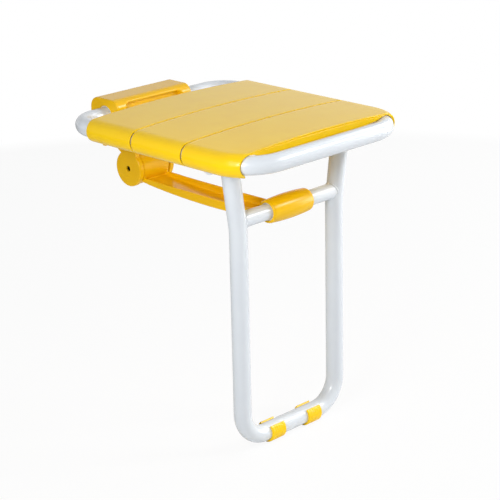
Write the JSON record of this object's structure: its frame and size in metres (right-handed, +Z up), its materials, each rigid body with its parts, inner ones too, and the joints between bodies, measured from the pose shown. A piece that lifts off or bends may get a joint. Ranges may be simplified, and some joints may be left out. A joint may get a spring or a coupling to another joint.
{
  "type": "fold-down wall seat",
  "caption": "Wall-mounted seat of moulded slats on a round tube loop; a link arm folds its tubular leg frame as the seat turns up against the wall.",
  "frame": {"origin": "centre of the four wall holes, on the wall face of the bracket", "axes": "+Y into the wall, +Z up, +X along the hinge, to the right as seen from in front; the seat is down at rest"},
  "size_m": [0.3238, 0.392, 0.4575],
  "materials": {
    "yellow_plastic": "satin moulded plastic",
    "white_tube": "gloss white powder coat",
    "screw_steel": "plain stainless steel",
    "nylon": "natural nylon",
    "white_plastic": "white moulded plastic"
  },
  "bodies": {
    "bracket": {"wall_bracket": "yellow_plastic", "hinge_cover": "yellow_plastic", "cover_screws": "screw_steel", "arm_pivot_pin": "screw_steel", "hinge_bush_left": "nylon", "hinge_bush_right": "nylon", "pivot_screw_left": "screw_steel", "pivot_screw_right": "screw_steel"},
    "seat": {"seat_loop_tube": "white_tube", "slat_rear": "yellow_plastic", "slat_middle": "yellow_plastic", "slat_front": "yellow_plastic", "slat_screws": "screw_steel", "pivot_washers": "nylon", "leg_lug_left": "white_tube", "leg_lug_right": "white_tube", "leg_pivot_bolt_left": "screw_steel", "leg_pivot_bolt_right": "screw_steel"},
    "arm": {"link_arm": "yellow_plastic", "sleeve_cap": "yellow_plastic", "sleeve_screws": "screw_steel", "hub_bush_left": "nylon", "hub_bush_right": "nylon", "sleeve_bush_left": "nylon", "sleeve_bush_right": "nylon"},
    "legs": {"leg_u_tube": "white_tube", "leg_crossbar": "white_tube", "leg_end_plug_left": "white_plastic", "leg_end_plug_right": "white_plastic", "leg_pivot_bush_left": "nylon", "leg_pivot_bush_right": "nylon", "foot_clip_left": "yellow_plastic", "foot_clip_right": "yellow_plastic"}
  },
  "joints": [
    {"name": "seat_fold", "type": "hinge", "parent": "bracket", "child": "seat", "pos_m": [0.016, -0.0315, 0.0185], "axis": [-1, 0, 0], "range_deg": [0, 83]},
    {"name": "leg_fold", "type": "hinge", "parent": "seat", "child": "legs", "pos_m": [0.016, -0.303, 0.0085], "axis": [1, 0, 0], "range_deg": [0, 83]},
    {"name": "arm_fold", "type": "hinge", "parent": "bracket", "child": "arm", "pos_m": [0, -0.0315, -0.068], "axis": [-1, 0, 0], "range_deg": [0, 83]}
  ],
  "couplings": [
    {"joint": "leg_fold", "follows": "seat_fold", "ratio": 1},
    {"joint": "arm_fold", "follows": "seat_fold", "ratio": 1}
  ]
}
